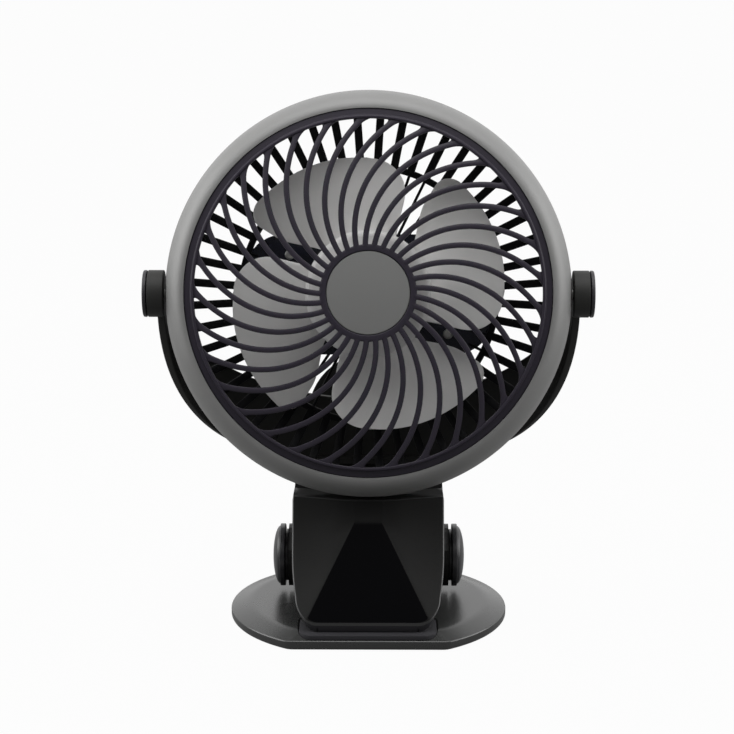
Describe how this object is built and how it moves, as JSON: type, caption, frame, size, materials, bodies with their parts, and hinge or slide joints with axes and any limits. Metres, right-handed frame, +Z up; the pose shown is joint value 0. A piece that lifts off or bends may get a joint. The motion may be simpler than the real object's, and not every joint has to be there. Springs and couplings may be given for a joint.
{
  "type": "clip fan",
  "caption": "Clip-on desk fan: a tilting round head with a swirled front grille in a bow-shaped yoke, on a sprung clip stand with a broad base.",
  "frame": {"origin": "on the table, under the middle of the round base", "axes": "+Z up, the fan blows along -Y, +X to the right of a viewer who looks at the front grille"},
  "size_m": [0.2478, 0.1525, 0.2927],
  "materials": {
    "satin_grey": "satin mid-grey moulded plastic",
    "dark_grey": "fine-textured dark grey plastic",
    "cap_grey": "flat matte grey disc",
    "grille_black": "semi-matte purplish black plastic",
    "gloss_black": "glossy near-black plastic",
    "blade_grey": "smooth light grey, slightly translucent plastic",
    "rubber": "matte black rubber",
    "steel": "zinc-plated steel",
    "copper": "varnished copper wire",
    "board": "green circuit board"
  },
  "bodies": {
    "base": {"base_plate": "satin_grey", "base_bottom_cover": "dark_grey", "ballast_plate": "steel", "seat_pad": "rubber", "grip_pad": "rubber", "foot_1": "rubber", "foot_2": "rubber", "foot_3": "rubber", "foot_4": "rubber", "rear_handle": "dark_grey", "handle_screw_1": "steel", "handle_screw_2": "steel", "hinge_pin": "steel", "hinge_cap_left": "gloss_black", "hinge_cap_right": "gloss_black", "spring_bush": "grille_black", "torsion_spring": "steel"},
    "clip_lever": {"front_lever": "dark_grey", "jaw_pad": "rubber", "yoke": "dark_grey", "yoke_screw_1": "steel", "yoke_screw_2": "steel", "pivot_cap_left": "dark_grey", "pivot_cap_right": "dark_grey"},
    "head": {"head_ring": "satin_grey", "front_grille": "grille_black", "grille_cap": "cap_grey", "rear_grille": "grille_black", "grille_screw_1": "steel", "grille_screw_2": "steel", "grille_screw_3": "steel", "grille_screw_4": "steel", "motor_cover": "gloss_black", "cover_screw_1": "steel", "cover_screw_2": "steel", "cover_screw_3": "steel", "cover_screw_4": "steel", "motor_can": "steel", "stator_core": "steel", "winding_front": "copper", "winding_rear": "copper", "bearing_front": "steel", "bearing_rear": "steel", "control_board": "board", "speed_switch": "gloss_black", "power_inlet": "gloss_black", "pivot_screw_left": "steel", "pivot_screw_right": "steel"},
    "rotor": {"shaft": "steel", "rotor_core": "steel", "impeller": "blade_grey", "blade_nut": "gloss_black"},
    "knob": {"speed_knob": "dark_grey"}
  },
  "joints": [
    {"name": "clip_open", "type": "hinge", "parent": "base", "child": "clip_lever", "pos_m": [0, 0.016, 0.0296], "axis": [-1, 0, 0], "range_deg": [0, 18], "stiffness_Nm_per_rad": 2, "springref_deg": -28.65},
    {"name": "head_tilt", "type": "hinge", "parent": "clip_lever", "child": "head", "pos_m": [0, 0, 0.184], "axis": [-1, 0, 0], "range_deg": [-25, 60]},
    {"name": "rotor_spin", "type": "hinge", "parent": "head", "child": "rotor", "pos_m": [0, 0, 0.184], "axis": [0, -0.9763, 0.2164], "continuous": true},
    {"name": "knob_turn", "type": "hinge", "parent": "head", "child": "knob", "pos_m": [0, 0.05055, 0.18099], "axis": [0, -0.9763, 0.2164], "range_deg": [0, 90]}
  ]
}
